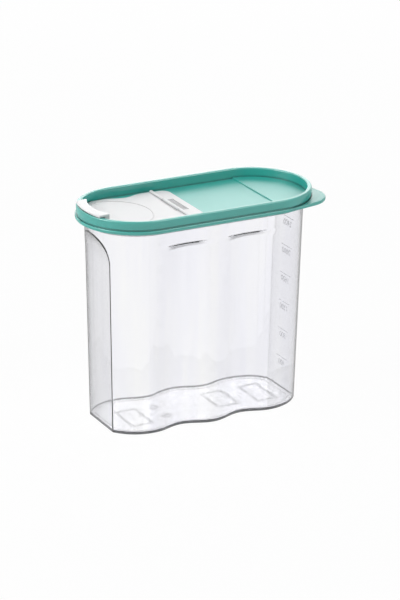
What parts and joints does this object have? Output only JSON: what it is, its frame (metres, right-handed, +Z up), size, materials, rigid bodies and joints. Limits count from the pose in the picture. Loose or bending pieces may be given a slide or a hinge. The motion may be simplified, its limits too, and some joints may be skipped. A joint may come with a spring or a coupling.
{
  "type": "cereal container",
  "caption": "Clear oblong dry-food tub with fluted sides, a soft press-on lid with a corner lift tab, and a hinged white pour cover with a thumb lip.",
  "frame": {"origin": "centre of the tub's footprint, on the surface that it stands on", "axes": "+Z up; +X along the length towards the measuring scale and the lift tab, with the pour end at -X; +Y across the width"},
  "size_m": [0.2276, 0.1046, 0.2035],
  "materials": {
    "clear_tub": "clear glossy moulded plastic",
    "teal_lid": "soft satin moulded plastic",
    "white_cover": "satin moulded plastic"
  },
  "bodies": {
    "tub": {"tub": "clear_tub"},
    "lid": {"lid": "teal_lid", "hinge_plate": "white_cover"},
    "flap": {"spout_flap": "white_cover"}
  },
  "joints": [
    {"name": "lid_lift", "type": "slide", "parent": "tub", "child": "lid", "axis": [0, 0, 1], "range_m": [0, 0.06]},
    {"name": "flap_hinge", "type": "hinge", "parent": "lid", "child": "flap", "pos_m": [-0.023, 0, 0.194], "axis": [0, 1, 0], "range_deg": [0, 170]}
  ]
}
